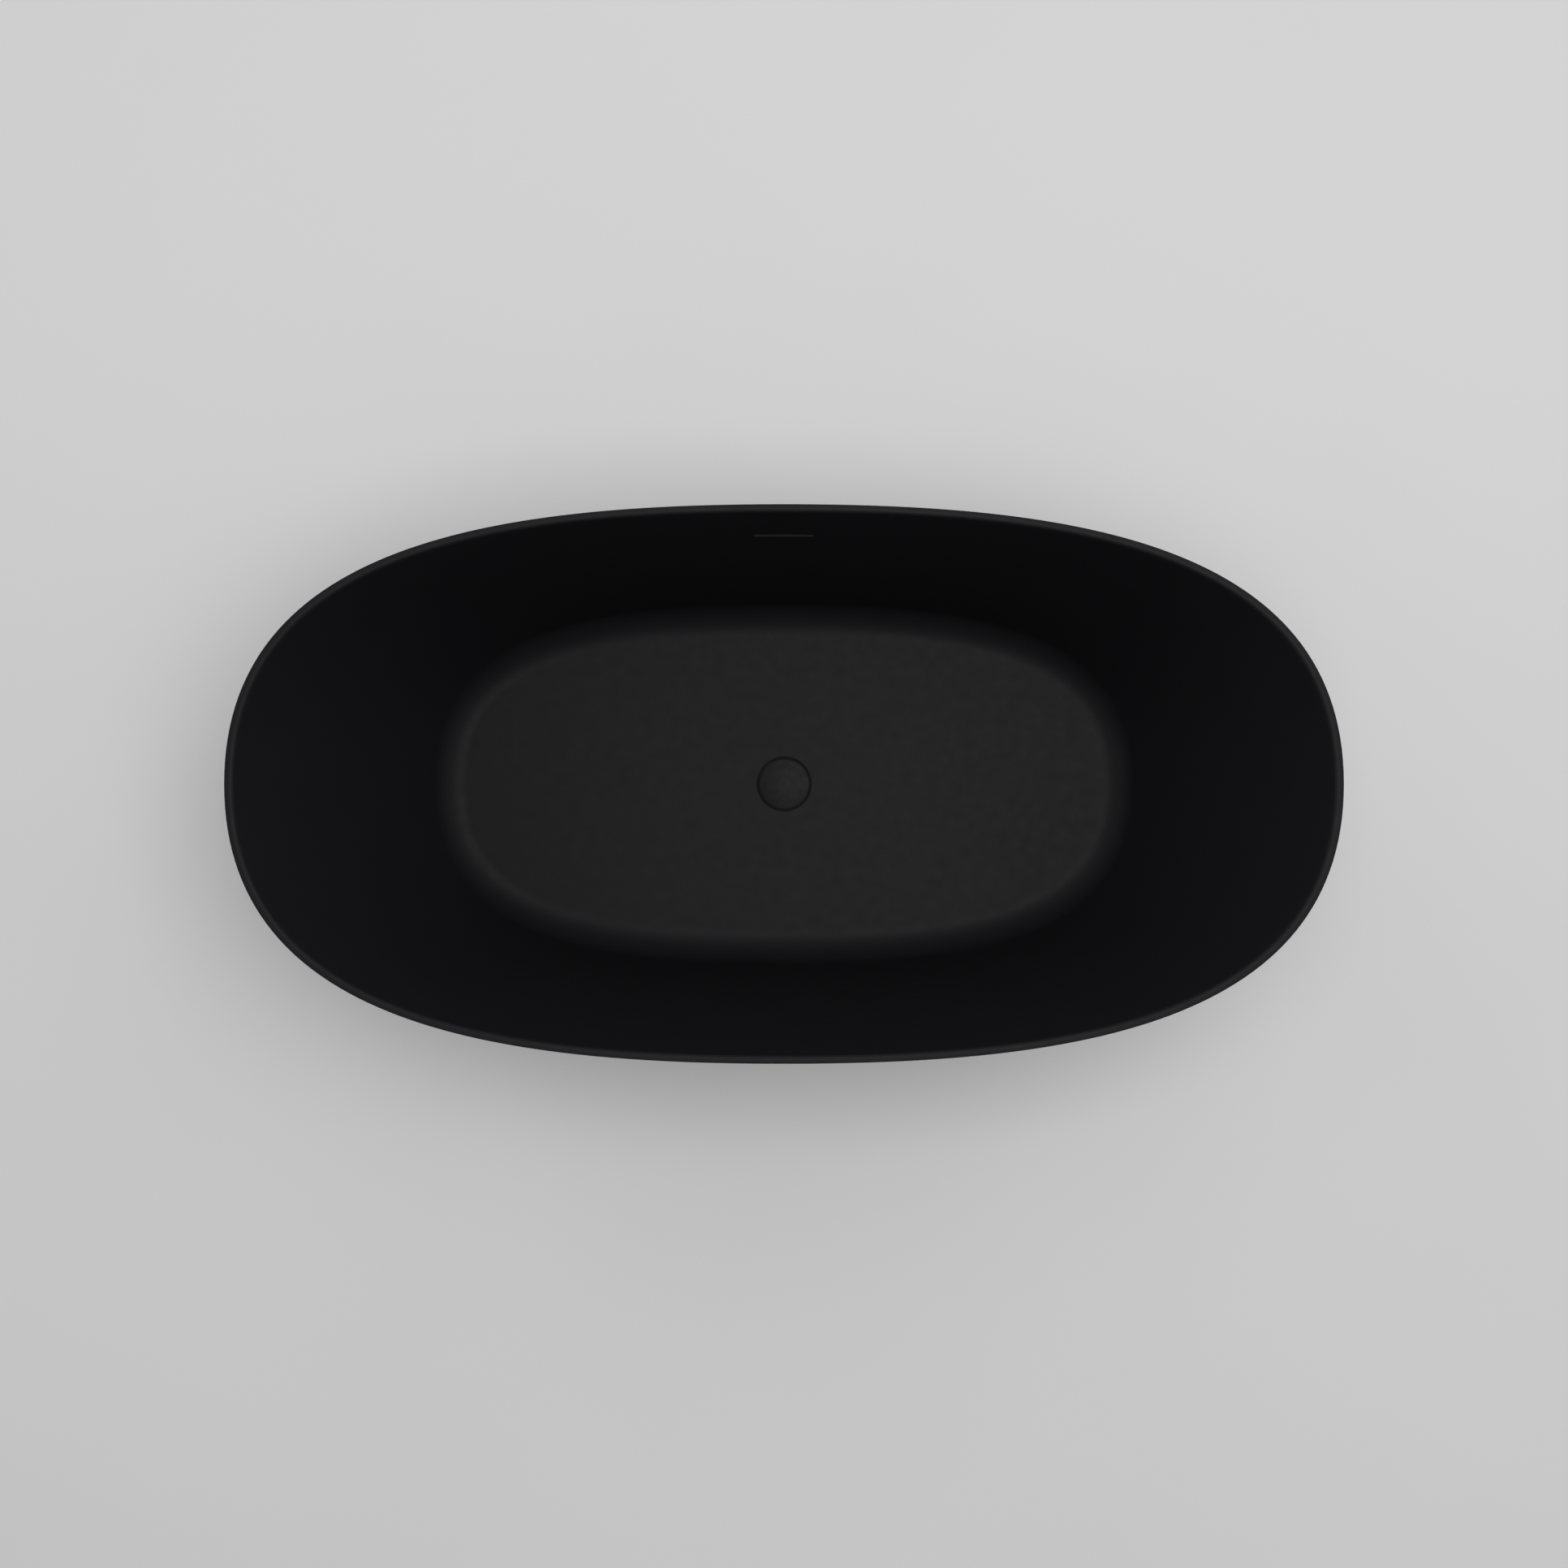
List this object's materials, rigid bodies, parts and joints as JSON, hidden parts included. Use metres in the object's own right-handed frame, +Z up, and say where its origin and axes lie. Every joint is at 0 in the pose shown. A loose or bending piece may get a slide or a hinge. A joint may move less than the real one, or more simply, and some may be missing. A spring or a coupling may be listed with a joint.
{
  "type": "freestanding bathtub",
  "caption": "Freestanding oval double-ended bathtub with a thin rim, outer skirt, domed click plug, slot overflow and a levelling underframe.",
  "frame": {"origin": "middle of the bathtub's footprint, on the floor it stands on", "axes": "+X along the length, +Y towards the side with the overflow, +Z up"},
  "size_m": [1.5, 0.7499, 0.58],
  "materials": {
    "matt_black_acrylic": "cast acrylic sheet, fine matt",
    "glass_fibre": "rolled glass-fibre mat in polyester resin, rough",
    "adhesive": "cured polyurethane bead",
    "chipboard": "raw chipboard",
    "pine": "sawn pine",
    "zinc_tube": "zinc-plated square tube",
    "weld_metal": "weld bead, oxidised",
    "zinc_fastener": "bright zinc plate",
    "black_nylon": "moulded nylon",
    "foot_rubber": "rubber, matt",
    "seal_rubber": "soft nitrile rubber",
    "blackened_brass": "matt black plating",
    "black_coated_brass": "matt black coating",
    "plain_brass": "turned",
    "white_acetal": "moulded acetal",
    "spring_steel": "bright stainless wire",
    "white_polypropylene": "moulded polypropylene",
    "grey_hose": "corrugated polypropylene, satin",
    "stainless_clip": "stainless strip"
  },
  "bodies": {
    "tub": {"basin_shell": "matt_black_acrylic", "skirt_shell": "matt_black_acrylic", "basin_backing": "glass_fibre", "skirt_backing": "glass_fibre", "rim_bond": "adhesive", "base_board": "chipboard", "skirt_blocks": "pine", "frame_rail_front": "zinc_tube", "frame_rail_back": "zinc_tube", "frame_bar_1": "zinc_tube", "frame_bar_2": "zinc_tube", "frame_bar_3": "zinc_tube", "frame_bar_4": "zinc_tube", "weld_beads": "weld_metal", "tube_end_caps": "black_nylon", "frame_screws": "zinc_fastener", "bracket_screws": "zinc_fastener", "skirt_brackets": "zinc_fastener", "weld_nuts": "zinc_fastener", "lock_nuts": "zinc_fastener", "flange_seal": "seal_rubber", "lower_seal": "seal_rubber", "overflow_gasket": "seal_rubber", "waste_flange": "blackened_brass", "click_barrel": "plain_brass", "click_spring": "spring_steel", "waste_body": "white_polypropylene", "overflow_box": "white_polypropylene", "overflow_hose": "grey_hose", "hose_clip_upper": "stainless_clip", "hose_clip_lower": "stainless_clip"},
    "plug": {"plug_cap": "black_coated_brass", "plug_seal": "seal_rubber", "plug_stem": "plain_brass"},
    "rotor": {"click_rotor": "white_acetal"},
    "foot_1": {"foot_grip_1": "foot_rubber", "foot_pad_1": "black_nylon"},
    "stud_1": {"foot_stud_1": "zinc_fastener"},
    "foot_2": {"foot_grip_2": "foot_rubber", "foot_pad_2": "black_nylon"},
    "stud_2": {"foot_stud_2": "zinc_fastener"},
    "foot_3": {"foot_grip_3": "foot_rubber", "foot_pad_3": "black_nylon"},
    "stud_3": {"foot_stud_3": "zinc_fastener"},
    "foot_4": {"foot_grip_4": "foot_rubber", "foot_pad_4": "black_nylon"},
    "stud_4": {"foot_stud_4": "zinc_fastener"},
    "foot_5": {"foot_grip_5": "foot_rubber", "foot_pad_5": "black_nylon"},
    "stud_5": {"foot_stud_5": "zinc_fastener"}
  },
  "joints": [
    {"name": "plug_lift", "type": "slide", "parent": "tub", "child": "plug", "axis": [0, 0, 1], "range_m": [0, 0.01], "deforming": ["click_spring"]},
    {"name": "rotor_turn", "type": "hinge", "parent": "plug", "child": "rotor", "pos_m": [0, 0, 0.1134], "axis": [0, 0, 1], "range_deg": [0, 60.1]},
    {"name": "foot_1_height", "type": "slide", "parent": "tub", "child": "foot_1", "axis": [0, 0, -1], "range_m": [-0.01, 0.02]},
    {"name": "foot_1_screw", "type": "hinge", "parent": "foot_1", "child": "stud_1", "pos_m": [-0.4, -0.172, 0.014], "axis": [0, 0, -1], "range_deg": [-2060, 4120]},
    {"name": "foot_2_height", "type": "slide", "parent": "tub", "child": "foot_2", "axis": [0, 0, -1], "range_m": [-0.01, 0.02]},
    {"name": "foot_2_screw", "type": "hinge", "parent": "foot_2", "child": "stud_2", "pos_m": [0.4, -0.172, 0.014], "axis": [0, 0, -1], "range_deg": [-2060, 4120]},
    {"name": "foot_3_height", "type": "slide", "parent": "tub", "child": "foot_3", "axis": [0, 0, -1], "range_m": [-0.01, 0.02]},
    {"name": "foot_3_screw", "type": "hinge", "parent": "foot_3", "child": "stud_3", "pos_m": [0.4, 0.172, 0.014], "axis": [0, 0, -1], "range_deg": [-2060, 4120]},
    {"name": "foot_4_height", "type": "slide", "parent": "tub", "child": "foot_4", "axis": [0, 0, -1], "range_m": [-0.01, 0.02]},
    {"name": "foot_4_screw", "type": "hinge", "parent": "foot_4", "child": "stud_4", "pos_m": [-0.4, 0.172, 0.014], "axis": [0, 0, -1], "range_deg": [-2060, 4120]},
    {"name": "foot_5_height", "type": "slide", "parent": "tub", "child": "foot_5", "axis": [0, 0, -1], "range_m": [-0.01, 0.02]},
    {"name": "foot_5_screw", "type": "hinge", "parent": "foot_5", "child": "stud_5", "pos_m": [0.135, 0, 0.014], "axis": [0, 0, -1], "range_deg": [-2060, 4120]}
  ],
  "couplings": [
    {"joint": "rotor_turn", "follows": "plug_lift", "rad_per_m": 104.72},
    {"joint": "foot_1_screw", "follows": "foot_1_height", "rad_per_m": 3590.4},
    {"joint": "foot_2_screw", "follows": "foot_2_height", "rad_per_m": 3590.4},
    {"joint": "foot_3_screw", "follows": "foot_3_height", "rad_per_m": 3590.4},
    {"joint": "foot_4_screw", "follows": "foot_4_height", "rad_per_m": 3590.4},
    {"joint": "foot_5_screw", "follows": "foot_5_height", "rad_per_m": 3590.4}
  ]
}
